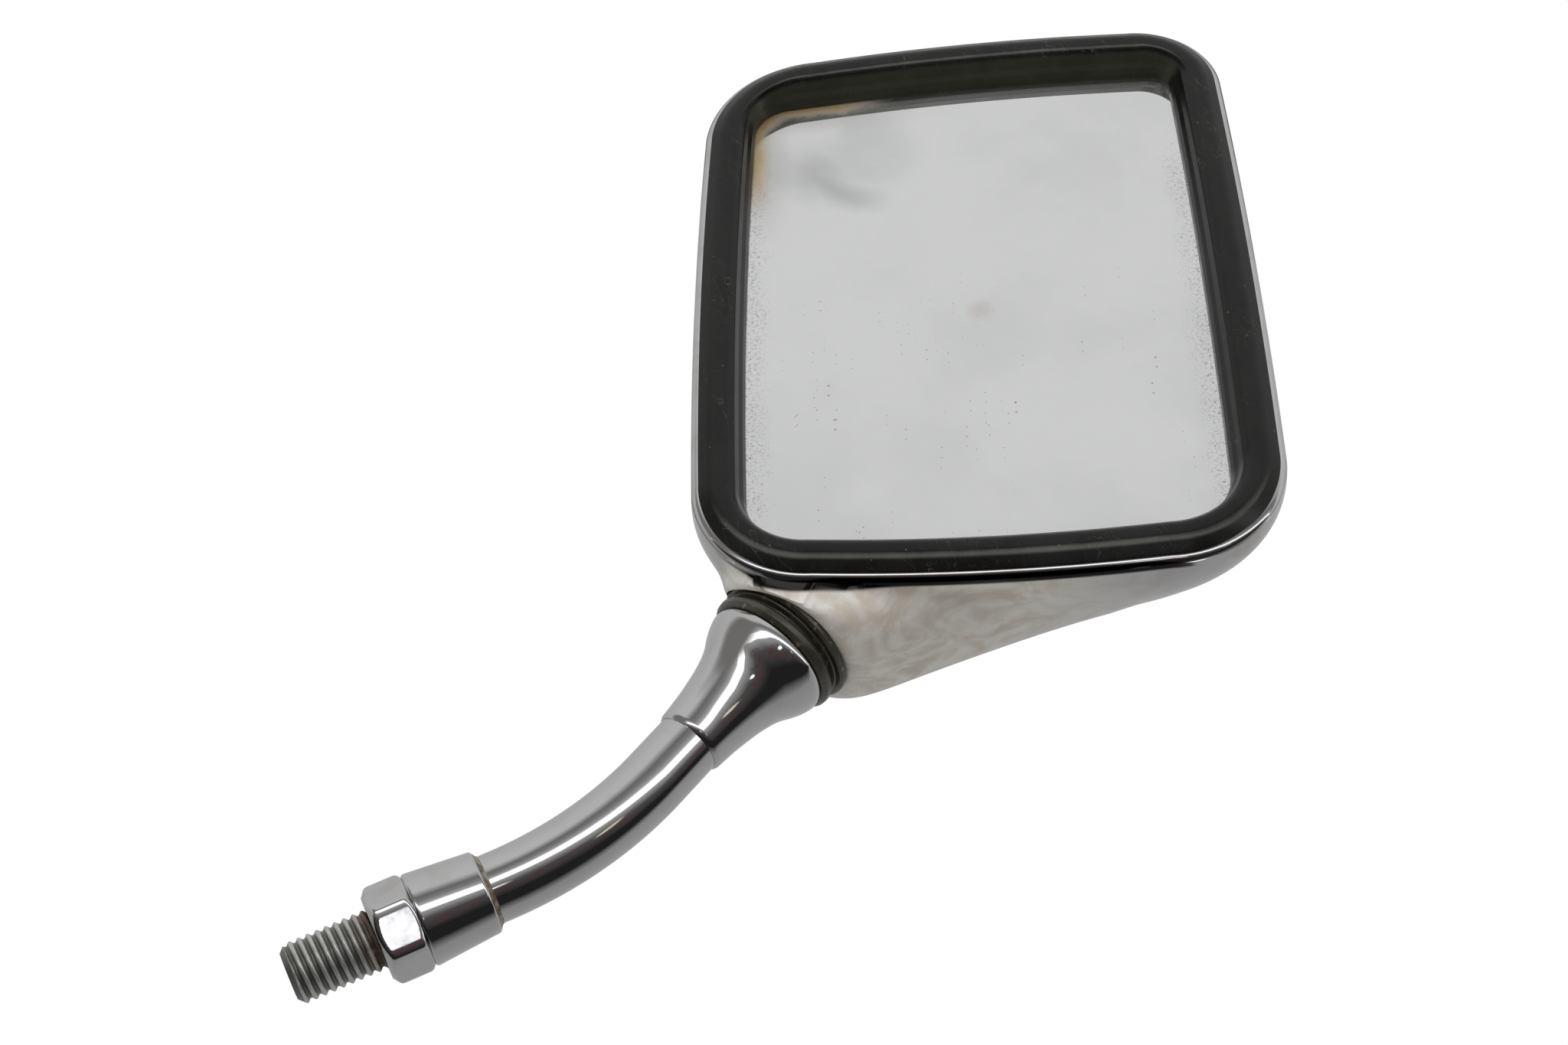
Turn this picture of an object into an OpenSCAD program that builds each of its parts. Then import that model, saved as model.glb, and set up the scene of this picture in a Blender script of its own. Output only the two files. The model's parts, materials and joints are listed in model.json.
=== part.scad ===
// Motorcycle mirror, left hand. Millimetres.
// Origin: the lock nut's seat face on the stud axis. Z runs up the stud, the glass looks to -Y.

/* [Stud and lock nut] */
// Thread size of the mounting stud (its plain cylinder stands for the M10 thread)
stud_d = 10; // [8:0.5:12]
// Bare thread below the lock nut
stud_below = 14.6; // [12:0.2:22]
// Length of the stud inside the sleeve
stud_in = 5.4; // [4:0.2:6]
// Lock nut across flats
nut_af = 14.5; // [14:0.5:17]
// Lock nut height
nut_h = 6.9; // [5:0.1:8]
// Radial clearance of the nut on the stud
nut_gap = 0.05; // [0.03:0.01:0.1]

/* [Stem] */
// Sleeve diameter at the nut
sleeve_d = 15.6; // [15:0.1:17]
// Sleeve diameter at the tube
sleeve_top_d = 13.7; // [13.2:0.1:15]
// Sleeve length
sleeve_len = 11.6; // [10:0.2:16]
// Tube outside diameter
tube_d = 11.4; // [10.6:0.1:12]
// Tube bore
tube_bore = 8; // [7:0.1:8.6]
// Height where the bend starts
bend_start = 21.2; // [20:0.2:30]
// Bend radius on the centre line
bend_r = 67; // [45:1:90]
// Bend angle
bend_a = 26.4; // [15:0.2:35]
// Straight tube from the bend to the bell
seam_run = 8.2; // [6:0.2:14]

/* [Bell] */
// Bell length
bell_len = 21.5; // [20:0.5:26]
// Bell mouth diameter
bell_mouth_d = 22.6; // [21:0.1:23.4]
// Bell sheet thickness
bell_t = 0.9; // [0.7:0.1:1.2]

/* [Ball joint] */
// Ball diameter
ball_d = 11; // [10:0.1:11.4]
// Ball neck diameter
neck_d = 6.4; // [5:0.1:6.6]
// Nylon liner thickness
liner_t = 0.95; // [0.8:0.05:1.1]
// Clearance between the ball joint's sphere faces
ball_gap = 0.06; // [0.05:0.01:0.1]
// From the bell mouth to the spout face
boot_gap = 5.3; // [4.6:0.1:7]
// From the spout face to the ball centre
ball_in = 9.4; // [9:0.1:11]
// Socket diameter
socket_d = 22.4; // [21.6:0.2:22.6]

/* [Head] */
// Turn of the head's lower edge against the stud axis
head_turn = 25; // [15:1:35]
// Width of the frame along its lower edge
frame_w = 100; // [94:0.2:110]
// Height of the frame at its spout side
frame_h = 122.7; // [110:0.5:135]
// Rise of the top edge in degrees
top_rise = 4.5; // [0:0.1:7]
// Rise of the lower edge in degrees
low_rise = 1.25; // [0:0.05:2.5]
// Inner crest of the bezel in front of the ball joint plane
face_w = 16.7; // [16.2:0.1:18.5]
// Housing wall
wall = 1.5; // [1.2:0.1:1.8]
// Depth of the housing behind the ball joint plane
shell_back = 14.4; // [13.6:0.2:18]
// Share of that depth lost at the far corner
far_thin = 0.45; // [0.2:0.05:0.55]
// Half width of the spout on the flank side
spout_right = 15.6; // [15:0.2:17]
// Half width of the spout on the other side
spout_left = 12.9; // [12.9:0.1:14]
// Depth of the spout behind the ball axis
spout_back = 14.3; // [13.8:0.1:15]
// Power of the dome's section, lower is fuller
dome_p = 0.74; // [0.6:0.02:0.9]

/* [Glass] */
// Glass thickness
glass_t = 2; // [1.8:0.1:2.2]
// Bezel width in front of the glass
bezel_w = 8.3; // [8:0.1:9.4]
// Glass recess below the bezel's inner crest
recess = 5.4; // [5:0.1:5.8]

/* [Hidden] */
$fn = 20;
stud_r = stud_d / 2;
shank_r = stud_r - 0.2;
tube_r = tube_d / 2;
sleeve_lo = nut_h;
sleeve_hi = nut_h + sleeve_len;
stud_top = sleeve_lo + stud_in;
// Distances a_ run along the bell axis from the end of the bend
a_seam = seam_run;
a_mouth = a_seam + bell_len;
a_spout = a_mouth + boot_gap;
a_ball = a_spout + ball_in;
end_x = -bend_r * (1 - cos(bend_a));
end_z = bend_start + bend_r * sin(bend_a);
ball_x = end_x - a_ball * sin(bend_a);
ball_z = end_z + a_ball * cos(bend_a);
ball_r = ball_d / 2;
neck_r = neck_d / 2;
liner_i = ball_r + ball_gap;
liner_o = liner_i + liner_t;
pocket_r = liner_o + ball_gap;
seat_r = socket_d / 2;
flat_w = face_w - recess - glass_t - 0.9;
dir_a = bend_a + head_turn;
rim_w = face_w - 1.9;
shell_deep = rim_w + shell_back;
gasket_r = spout_left - 0.3;
boot_r = bell_mouth_d / 2 - 1.4;
lip_r = socket_d / 2 - 1.3;
// Polar centre of the shell, on the ball axis
c0 = 30 * [cos(dir_a), sin(dir_a)];
mouth_l = 30 + ball_in;

// Corners of the frame in the head's plane, from the ball centre
k_bl = [-21, -5.6];
k_br = k_bl + frame_w * [1, tan(low_rise)];
k_tl = k_bl + [1.8, frame_h];
k_tr = k_tl + (frame_w - 3) * [1, tan(top_rise)];
corners = [k_bl, k_br, k_tr, k_tl];
corner_r = [19, 21, 15, 22];
bow = [1.2, 0.7, 1.2, 0.8];
side_n = [14, 4, 4, 5];
arc_n = 6;
function unit(v) = v / norm(v);
function out_n(i) = let (d = unit(corners[(i + 1) % 4] - corners[i])) [d[1], -d[0]];
function heading(i, base) = let (n = out_n(i), a = atan2(n[1], n[0])) a < base - 90 ? a + 360 : a;
function arc_mid(i) = let (p = out_n((i + 3) % 4), q = out_n(i)) corners[i] - corner_r[i] * (p + q) / (1 + p * q);
// Outline of the frame, off millimetres inside its outer edge
function corner_pts(i, off) = let (from = heading((i + 3) % 4, -90 + 90 * (i - 1)),
  to = from + acos(out_n((i + 3) % 4) * out_n(i)))
  [for (k = [0:arc_n]) let (t = from + (to - from) * k / arc_n) arc_mid(i) + (corner_r[i] - off) * [cos(t), sin(t)]];
function side_pts(i, off) = let (n = out_n(i), a = arc_mid(i) + (corner_r[i] - off) * n,
  b = arc_mid((i + 1) % 4) + (corner_r[(i + 1) % 4] - off) * n)
  [for (k = [1:side_n[i]]) let (t = k / (side_n[i] + 1)) a + (b - a) * t + 4 * bow[i] * t * (1 - t) * n];
function outline(off) = [for (i = [0:3]) each concat(corner_pts(i, off), side_pts(i, off))];

function blend_max(a, b) = pow(pow(a, 14) + pow(b, 14), 1 / 14);
function blend_min(a, b) = pow(pow(a, -22) + pow(b, -22), -1 / 22);
function bulge(d) = d <= 0 ? 0 : d < 13 ? 0.5 * sin(180 * d / 13) : 0;
// Half width of the spout at depth w, as a share of its full half width
function spout_q(w, lim) = abs(w) >= lim ? 0 : pow(1 - pow(abs(w) / lim, 2.3), 1 / 2.3);
// Reach of the spout from the polar centre, del degrees off the ball axis; it fades out square to the axis
function spout_r(del, w, in) = let (lim = (w > 0 ? rim_w - 1.2 : spout_back) - in, q = spout_q(w, lim), cd = cos(del),
  sd = abs(sin(del)), m = del > 0 ? 0.62 : 0.08, h = (del > 0 ? spout_right : spout_left) - in)
  cd < 0.03 || q < 0.01 ? 0.001 : (1 - 0.5 * pow(1 - min(1, cd / 0.45), 2)) * blend_min(
    (mouth_l - in * 1.3) / cd, (h + m * mouth_l) * q / max(sd + m * q * cd, 0.02));
// Shell point on the ray through outline point p, t degrees along the domed section from rim to back,
// in millimetres inside the outer skin. The dome gets shallower away from the ball axis.
function shell_pt(p, t, in) = let (v = p - c0, r0 = norm(v), fi = atan2(v[1], v[0]), del0 = fi - dir_a + 180,
  del = del0 > 180 ? del0 - 360 : del0, rr = (r0 - in) * pow(cos(t), dome_p),
  d = (shell_deep - in) * (1 - far_thin * pow(rr / 115, 1.2)) * pow(sin(t), dome_p), w = rim_w - d,
  r = blend_max(rr + bulge(d), spout_r(del, w, in)))
  [c0[0] + r * v[0] / r0, c0[1] + r * v[1] / r0, w];
function shell_ring(t, in) = [for (p = outline(-0.9)) shell_pt(p, t, in)];
function flat_ring(off, w) = [for (p = outline(off)) [p[0], p[1], w]];

module head_frame() translate([ball_x, 0, ball_z]) rotate([0, head_turn - 90, 0]) rotate([90, 0, 0]) children();
module on_axis(a) translate([end_x, 0, end_z]) rotate([0, -bend_a, 0]) translate([0, 0, a]) children();
module ring(r1, r2, h) difference() {
  cylinder(r = r2, h = h);
  translate([0, 0, -1]) cylinder(r = r1, h = h + 2, $fn = 20);
}
function ball_arc(r, from, to, n) = [for (k = [0:n]) let (t = from + (to - from) * k / n) [r * sin(t), r * cos(t)]];

// The same arc for a hollow, with its facets clear of the true circle
function hollow_arc(r, from, to, n) = ball_arc(r / cos((to - from) / n / 2), from, to, n);

module mounting_stud() color("#6a6c68") {
  translate([0, 0, 1 - stud_below]) cylinder(r = stud_r, h = stud_below - 1, $fn = 32);
  cylinder(r = shank_r, h = stud_top, $fn = 32);
  translate([0, 0, -stud_below]) cylinder(r1 = stud_r - 0.9, r2 = stud_r, h = 1, $fn = 32);
}

module lock_nut() color("#c9c7c2") difference() {
  intersection() {
    rotate([0, 0, 30]) cylinder(r = nut_af / sqrt(3), h = nut_h, $fn = 6);
    union() {
      cylinder(r1 = nut_af / 2 - 0.1, r2 = nut_af / 2 + 1.7, h = 1.1, $fn = 32);
      translate([0, 0, 1.1]) cylinder(r = nut_af / 2 + 1.7, h = nut_h - 2.2, $fn = 32);
      translate([0, 0, nut_h - 1.1]) cylinder(r1 = nut_af / 2 + 1.7, r2 = nut_af / 2 - 0.1, h = 1.1, $fn = 32);
    }
  }
  translate([0, 0, -1]) cylinder(r = stud_r + nut_gap, h = nut_h + 2, $fn = 32);
}

module stem_sleeve() color("#c4c0ba") rotate_extrude($fn = 32) polygon([[shank_r, sleeve_lo],
  [sleeve_d / 2 - 0.4, sleeve_lo], [sleeve_d / 2, sleeve_lo + 0.4], [sleeve_top_d / 2, sleeve_hi - 0.3],
  [sleeve_top_d / 2 - 0.3, sleeve_hi], [tube_r, sleeve_hi], [tube_r, stud_top + 0.2], [shank_r, stud_top + 0.2]]);

module braze_ring() color("#8a6a48") rotate_extrude($fn = 32) polygon([[tube_r, sleeve_hi],
  [tube_r + 0.75, sleeve_hi], [tube_r + 0.35, sleeve_hi + 0.3], [tube_r, sleeve_hi + 0.75]]);

module stem_tube() color("#c9c5bf") {
  translate([0, 0, stud_top + 0.2]) ring(tube_bore / 2, tube_r, bend_start - stud_top - 0.2, $fn = 32);
  translate([-bend_r, 0, bend_start]) rotate([90, 0, 0]) rotate_extrude(angle = bend_a, $fn = 110)
    translate([bend_r, 0]) difference() {
      circle(r = tube_r, $fn = 32);
      circle(r = tube_bore / 2, $fn = 20);
    }
  on_axis(-0.4) ring(tube_bore / 2 + 0.01, tube_r - 0.01, a_seam + 5.4, $fn = 32);
}

// Bell radii from the photo: distance from the seam as a share of the length, and radius over the tube
bell_s = [0, 0.03, 0.22, 0.46, 0.61, 0.7, 0.79, 0.88, 0.95, 0.985];
bell_g = [0, 0.05, 0.12, 0.27, 0.42, 0.56, 0.76, 0.92, 0.99, 0.97];
module bell_cover() color("#c7c3bd") on_axis(a_seam) rotate_extrude($fn = 32) let (
  r0 = tube_r + 0.25, dr = bell_mouth_d / 2 - r0,
  outer = [for (k = [0:9]) [r0 + dr * bell_g[k], bell_len * bell_s[k]]])
  polygon(concat([[tube_r, 0]], outer, [[bell_mouth_d / 2 - 1, bell_len]],
    [for (k = [8, 6, 4]) [r0 + dr * bell_g[k] - bell_t * 1.15, bell_len * bell_s[k] - 0.1]], [[tube_r, 6.5]]));

module ball_stud() color("#9b9a95") on_axis(0) rotate_extrude() polygon(concat(
  [[0, a_seam - 4], [tube_bore / 2 - 0.6, a_seam - 4], [tube_bore / 2, a_seam - 3.4], [tube_bore / 2, a_seam + 5],
   [tube_r - 0.1, a_seam + 5], [tube_r - 0.1, a_seam + 7.4], [neck_r + 0.8, a_seam + 9], [neck_r, a_seam + 12]],
  [for (p = ball_arc(ball_r, 180 - asin(neck_r / ball_r), 0, 9)) [max(p[0], 0), a_ball + p[1]]]));

module bell_clip() color("#77736b") on_axis(a_seam + 7.4) rotate_extrude() polygon([[neck_r + 0.8, 1.6],
  [tube_r - 0.1, 0], [tube_r + 0.1, 0], [tube_r + 0.1, 0.8], [neck_r + 1.4, 2.4], [neck_r + 0.6, 2.4]]);

module liner(from, to) on_axis(a_ball) rotate_extrude() polygon(concat(hollow_arc(liner_i, from, to, 3),
  ball_arc(liner_o, to, from, 3)));
module lower_liner() color("#d8d3c4") liner(98, 127);
module upper_liner() color("#d8d3c4") liner(28, 82);

module in_front() difference() {
  children();
  head_frame() translate([-40, -40, flat_w]) cube([80, 80, 20]);
}
module screw_spots() for (t = [0, 90, 180]) rotate([0, 0, t]) translate([seat_r - 2.1, 0, 0]) children();

module socket_seat() color("#8f8f8c") in_front() on_axis(0) difference() {
  rotate_extrude() polygon(concat([[seat_r - 2.6, a_spout + 1.6], [seat_r, a_spout + 1.6], [seat_r, a_ball - 0.9]],
    [for (p = hollow_arc(pocket_r, 98, 131, 4)) [p[0], a_ball + p[1]]]));
  translate([0, 0, a_ball - 5]) screw_spots() cylinder(r = 1.25, h = 8, $fn = 14);
}

module clamp_plate() color("#93938f") in_front() on_axis(a_ball) difference() {
  rotate_extrude() polygon(concat([for (p = hollow_arc(pocket_r, 82, 26, 5)) p],
    [[2.4, pocket_r + 1.2], [4.6, pocket_r + 0.2], [6, 4.2], [seat_r - 0.2, 4.2], [seat_r - 0.2, 0.9]]));
  screw_spots() cylinder(r = 1.45, h = 8, $fn = 14);
}

module clamp_screws() color("#b9b7b0") on_axis(a_ball) screw_spots() {
  translate([0, 0, -4.6]) cylinder(r = 1.25, h = 9.8, $fn = 14);
  translate([0, 0, 5.2]) difference() {
    cylinder(r1 = 2.2, r2 = 1.9, h = 1.6, $fn = 14);
    translate([-0.3, -3, 0.9]) cube([0.6, 6, 2]);
  }
}

module spring_washers() color("#8d8b86") on_axis(a_ball + 4.2) screw_spots() ring(1.35, 2.2, 1);

module spout_gasket() color("#20211f") on_axis(a_spout) rotate_extrude($fn = 32) polygon([[lip_r - 1.3, -1.5],
  [gasket_r - 0.4, -1.5], [gasket_r, -1.1], [gasket_r, -0.5], [gasket_r - 0.4, 0], [lip_r, 0], [lip_r, 1.6],
  [lip_r - 1.3, 1.6]]);

// Boot: neck hub, skirt inside the bell's mouth, lip over the mouth, groove, upper lip and its hollow
module boot() color("#1d1e1b") on_axis(a_mouth) rotate_extrude($fn = 28) let (b = boot_r, top = boot_gap - 1.55)
  polygon([[neck_r, -4.4], [neck_r + 1.1, -4.4], [neck_r + 1.1, -2.6], [b - 0.5, -1.2], [b, -0.6], [b, 0],
    [b + 1.5, 0.05], [b + 2.1, 0.7], [b + 2.2, 1.6], [b + 1.8, 2.1], [b + 0.8, 2.4], [b + 0.6, 2.9], [b + 1.6, 3.3],
    [b + 1.7, top], [b - 1, top], [b - 1, 3], [b - 0.6, 2.4], [b - 0.6, 1], [b - 1.3, -0.2], [neck_r + 1.8, -1.5],
    [neck_r, -1.5]]);

module boot_ring() color("#8b8a84") on_axis(a_mouth - 3.9) ring(neck_r + 1.1, neck_r + 1.9, 1);

m_out = len(outline(0));
// Angles of the shell's outer and inner rings along its section
out_t = [1, 3, 7, 13, 20, 28, 36, 45, 54, 63, 72, 80, 87];
in_t = [2, 13, 26, 40, 55, 70, 84];
shell_out = concat([flat_ring(0.3, rim_w), flat_ring(-0.35, rim_w - 0.1), flat_ring(-0.8, rim_w - 0.6)], [for (t = out_t) shell_ring(t, 0)]);
shell_in = concat([flat_ring(0.9, rim_w)], [for (t = in_t) shell_ring(t, wall)]);
// Faces between ring number a and the next, looked at from outside
function band(a, m) = [for (j = [0:m - 1]) let (b = (j + 1) % m) each
  [[a * m + j, a * m + b, (a + 1) * m + b], [a * m + j, (a + 1) * m + b, (a + 1) * m + j]]];
function fan(a, m, tip) = [for (j = [0:m - 1]) [a * m + j, a * m + (j + 1) % m, tip]];
function flip(faces) = [for (f = faces) [f[2], f[1], f[0]]];
module shell_skin() let (m = m_out, n = len(shell_out), k = len(shell_in),
  pts = concat([for (r = shell_out) each r], [for (r = shell_in) each r],
    [[c0[0], c0[1], rim_w - shell_deep], [c0[0], c0[1], rim_w - shell_deep + wall]]))
  polyhedron(pts, concat([for (i = [0:n - 2]) each band(i, m)], fan(n - 1, m, len(pts) - 2),
    flip([for (i = [n:n + k - 2]) each band(i, m)]), flip(fan(n + k - 1, m, len(pts) - 1)),
    [for (j = [0:m - 1]) let (b = (j + 1) % m) each [[j, n * m + j, n * m + b], [j, n * m + b, b]]]));

// Round cutter with flat facets that clear the true circle
module round_cut(r, a, h) on_axis(a) linear_extrude(h)
  polygon([for (k = [0:35]) r / cos(5) * [cos(10 * k), sin(10 * k)]]);
module housing() color("#c8c4bd") difference() {
  head_frame() shell_skin();
  round_cut(gasket_r + 0.1, a_spout - 6, 6);
  round_cut(lip_r, a_spout - 1, 4);
  round_cut(seat_r + 0.02, a_spout + 1.6, 12);
}

// Section of the bezel: groove over the rim, outer band, face, inner wall with its bead, lip behind the glass
glass_w = face_w - recess;
bez = [[3.4, flat_w + 0.1], [1.1, rim_w - 1.2], [1, rim_w], [0.3, rim_w], [0.2, rim_w + 0.4], [0.6, face_w - 1.1],
  [3, face_w - 0.35], [5.6, face_w], [6.2, face_w - 0.15], [6.6, face_w - 0.8], [7, face_w - 2.2], [7.6, face_w - 2.9],
  [8, glass_w + 0.9], [bezel_w, glass_w], [6, glass_w], [6, glass_w - glass_t], [7.6, glass_w - glass_t],
  [7.6, flat_w + 0.1]];
module bezel() color("#2f302d") head_frame() let (m = m_out, n = len(bez))
  polyhedron([for (b = bez) each flat_ring(b[0], b[1])], flip(concat([for (i = [0:n - 2]) each band(i, m)],
    [for (j = [0:m - 1]) let (b = (j + 1) % m, a = (n - 1) * m) each [[a + j, a + b, b], [a + j, b, j]]])));

module mirror_glass() color("#cfd2d2") head_frame() translate([0, 0, glass_w - glass_t])
  linear_extrude(glass_t) polygon(outline(6));

module backing_pad() color("#3b3a36") head_frame() translate([0, 0, glass_w - glass_t - 0.6])
  linear_extrude(0.6) polygon(outline(7.6));

mounting_stud();
stem_sleeve();
braze_ring();
stem_tube();
bell_cover();
ball_stud();
bell_clip();
lock_nut();
lower_liner();
upper_liner();
housing();
bezel();
mirror_glass();
backing_pad();
socket_seat();
clamp_plate();
clamp_screws();
spring_washers();
spout_gasket();
boot();
boot_ring();
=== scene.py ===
"""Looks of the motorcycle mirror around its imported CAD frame.
Lengths are millimetres, in the row frame, until put() turns them into metres."""
import json
import math

import bpy
import numpy as np
from mathutils import Matrix, Vector


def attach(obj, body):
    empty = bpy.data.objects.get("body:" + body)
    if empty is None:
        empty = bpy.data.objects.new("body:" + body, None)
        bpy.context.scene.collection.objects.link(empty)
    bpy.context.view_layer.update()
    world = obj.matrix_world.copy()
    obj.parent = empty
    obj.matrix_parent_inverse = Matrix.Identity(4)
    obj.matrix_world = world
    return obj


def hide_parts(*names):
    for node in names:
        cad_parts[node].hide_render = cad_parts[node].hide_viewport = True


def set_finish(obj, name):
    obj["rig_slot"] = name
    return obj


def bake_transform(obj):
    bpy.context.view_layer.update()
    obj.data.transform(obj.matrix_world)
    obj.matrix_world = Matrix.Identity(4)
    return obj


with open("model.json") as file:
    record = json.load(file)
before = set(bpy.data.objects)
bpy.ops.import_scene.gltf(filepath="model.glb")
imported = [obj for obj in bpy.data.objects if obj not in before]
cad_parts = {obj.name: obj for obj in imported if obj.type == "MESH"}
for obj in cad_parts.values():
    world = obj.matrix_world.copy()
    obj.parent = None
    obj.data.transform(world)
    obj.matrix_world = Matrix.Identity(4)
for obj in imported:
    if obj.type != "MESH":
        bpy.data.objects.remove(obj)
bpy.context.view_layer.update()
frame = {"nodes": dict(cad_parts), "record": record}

MM = 0.001

# Driving sizes, the same as the part's source: the stem
stud_r, stud_low, stud_in, shank_in = 5.0, -14.6, 5.4, 0.2
thread_pitch, thread_deep = 1.5, 0.52
nut_af, nut_h, nut_bore = 14.5, 6.9, 5.05
sleeve_r, sleeve_top_r, sleeve_len = 7.8, 6.85, 11.6
tube_r, tube_bore = 5.7, 4.0
bend_start, bend_r, bend_a = 21.2, 67.0, math.radians(26.4)
seam_run, bell_len, bell_mouth_r, bell_t = 8.2, 21.5, 11.3, 0.9
neck_r, boot_in, boot_gap, gasket_t = 3.2, 1.4, 5.3, 1.55

# The head
ball_in, socket_r = 9.4, 11.2
head_turn = math.radians(25)
frame_w, frame_h, top_rise, low_rise = 100.0, 122.7, math.radians(4.5), math.radians(1.25)
face_w, recess, bezel_over, wall, shell_back, far_thin = 16.7, 5.4, 1.9, 1.5, 14.4, 0.45
spout_right, spout_left, spout_back, dome_p = 15.6, 12.9, 14.3, 0.74
glass_t, bezel_w, pad_t = 2.0, 8.3, 0.8
pole_in = 30  # from the ball to the shell's pole, along the spout
lip_out = 0.9  # how far the shell's rim stands outside the frame's outline
silver_in = 0.7  # how far the silvering looks to lie below the glass's front

# How the spout leaves the shell: exponents and slopes of its section, flanks and joins
section_round, flank_join, shell_join = 2.3, 22, 14
slope_right, slope_left = 0.62, 0.08
flank_run = 0.4  # how far past square the spout's right flank runs on, as a cosine
spout_below = 1.2  # how far below the rim the spout's section closes
shell_span, thin_p = 115, 1.2  # reach over which the shell gets thinner by far_thin, and how late
bulge_deep, bulge_out = 13, 0.5  # the shell swells a little over that depth below the rim

# Places along the stem
sleeve_hi = nut_h + sleeve_len
stud_top = nut_h + stud_in
shank_r = stud_r - shank_in
sleeve_floor = stud_top + 0.2
a_seam = seam_run
a_mouth = a_seam + bell_len
a_spout = a_mouth + boot_gap
a_ball = a_spout + ball_in
axis_dir = np.array([-math.sin(bend_a), 0, math.cos(bend_a)])
axis_side = np.array([math.cos(bend_a), 0, math.sin(bend_a)])
bend_end = np.array([-bend_r * (1 - math.cos(bend_a)), 0, bend_start + bend_r * math.sin(bend_a)])
ball = bend_end + a_ball * axis_dir
Y = np.array([0.0, 1, 0])

# Head frame: along the lower edge, up the spout side, out of the glass
tilt = head_turn - math.pi / 2
head_x = np.array([math.cos(tilt), 0, -math.sin(tilt)])
head_y = np.array([math.sin(tilt), 0, math.cos(tilt)])
head_w = np.array([0.0, -1, 0])
rim_w = face_w - bezel_over
glass_w = face_w - recess
shell_deep = rim_w + shell_back
dir_a = bend_a + head_turn


# ---------------------------------------------------------------- mesh helpers
def put(name, points, faces, body, replaced=(), slot=None, sharp=30):
    """A smooth-shaded mesh object from points in millimetres, riding on a body."""
    mesh = bpy.data.meshes.new(name)
    mesh.from_pydata((np.asarray(points, float) * MM).tolist(), [], faces)
    mesh.validate()
    mesh.shade_smooth()
    mesh.set_sharp_from_angle(angle=math.radians(sharp))
    obj = bpy.data.objects.new(name, mesh)
    bpy.context.scene.collection.objects.link(obj)
    if body:
        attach(obj, body)
    if replaced:
        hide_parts(*replaced)
    if slot:
        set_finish(obj, slot)
    return obj


def rings_to_faces(n_rings, m, closed=False, first=0):
    """Quads between rings of m points each; closed joins the last ring to the first."""
    faces = []
    for i in range(n_rings if closed else n_rings - 1):
        a, b = first + i * m, first + (i + 1) % n_rings * m
        faces += [(a + j, a + (j + 1) % m, b + (j + 1) % m, b + j) for j in range(m)]
    return faces


def on_axis(a, r, ang):
    """A point at distance a along the bell axis, r out from it."""
    return bend_end + a * axis_dir + r * (math.cos(ang) * axis_side + math.sin(ang) * Y)


def circle(place, h, r, segs):
    """Points round the axis at height h, where r is a radius or a function of the angle."""
    angles = [2 * math.pi * k / segs for k in range(segs)]
    return [place(h, r(t) if callable(r) else r, t) for t in angles]


def lathe(profile, segs, place):
    """Revolves a closed (r, h) profile; place(h, r, angle) gives the point."""
    pts = [p for r, h in profile for p in circle(place, h, r, segs)]
    return pts, rings_to_faces(len(profile), segs, closed=True)


def rounded(points, radii, steps=5):
    """Closed polygon with its corners rounded to the given radii."""
    out, n = [], len(points)
    most, straight = 0.48, 1.5  # the share of a side that a corner may take, and the half angle that needs none
    for i in range(n):
        p, a, b = (np.array(points[k % n], float) for k in (i, i - 1, i + 1))
        r = radii[i] if hasattr(radii, "__len__") else radii
        u, v = a - p, b - p
        lu, lv = np.linalg.norm(u), np.linalg.norm(v)
        cosang = np.clip(u @ v / lu / lv, -1, 1)
        half = math.acos(cosang) / 2
        if r <= 0 or half > straight:
            out.append(tuple(p))
            continue
        d = min(r / math.tan(half), most * lu, most * lv)
        q0, q1 = p + u / lu * d, p + v / lv * d
        for k in range(steps + 1):
            t = k / steps
            out.append(tuple((1 - t) ** 2 * q0 + 2 * t * (1 - t) * p + t * t * q1))
    return out


def smooth_curve(xs, ys, count):
    """Points along a smooth curve through (xs, ys), with slopes that never overshoot."""
    xs, ys = np.array(xs, float), np.array(ys, float)
    h, d = np.diff(xs), np.diff(ys) / np.diff(xs)
    m = np.zeros(len(xs))
    m[1:-1] = [0 if a * b <= 0 else 2 * a * b / (a + b) for a, b in zip(d[:-1], d[1:])]
    m[0], m[-1] = d[0], d[-1]
    grid = np.linspace(xs[0], xs[-1], count)
    out = []
    for x in grid:
        i = min(np.searchsorted(xs, x, side="right") - 1, len(h) - 1)
        t = (x - xs[i]) / h[i]
        out.append((2 * t**3 - 3 * t**2 + 1) * ys[i] + (t**3 - 2 * t**2 + t) * h[i] * m[i]
                   + (3 * t**2 - 2 * t**3) * ys[i + 1] + (t**3 - t**2) * h[i] * m[i + 1])
    return list(zip(grid, out))


# ---------------------------------------------------------------- stud, nut, sleeve, tube
def upright(h, r, ang):
    """A point at height h on the stud's axis, r out from it."""
    return (r * math.cos(ang), r * math.sin(ang), h)


def thread_radius(ang, h):
    """M10 x 1.5 thread with worn crests, run out to a chamfer at its tip."""
    crest_flat, flank, soft, chamfer, clear = 0.16, 0.68, 0.35, 1.15, 0.02
    phase = (h / thread_pitch - ang / (2 * math.pi)) % 1
    ridge = 1 - abs(phase - 0.5) * 2
    depth = np.clip((ridge - crest_flat) / flank, 0, 1)
    depth = depth * depth * (3 - 2 * depth) * soft + depth * (1 - soft)
    return min(stud_r - clear - thread_deep * depth, stud_r - chamfer + max(h - stud_low, 0))


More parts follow.
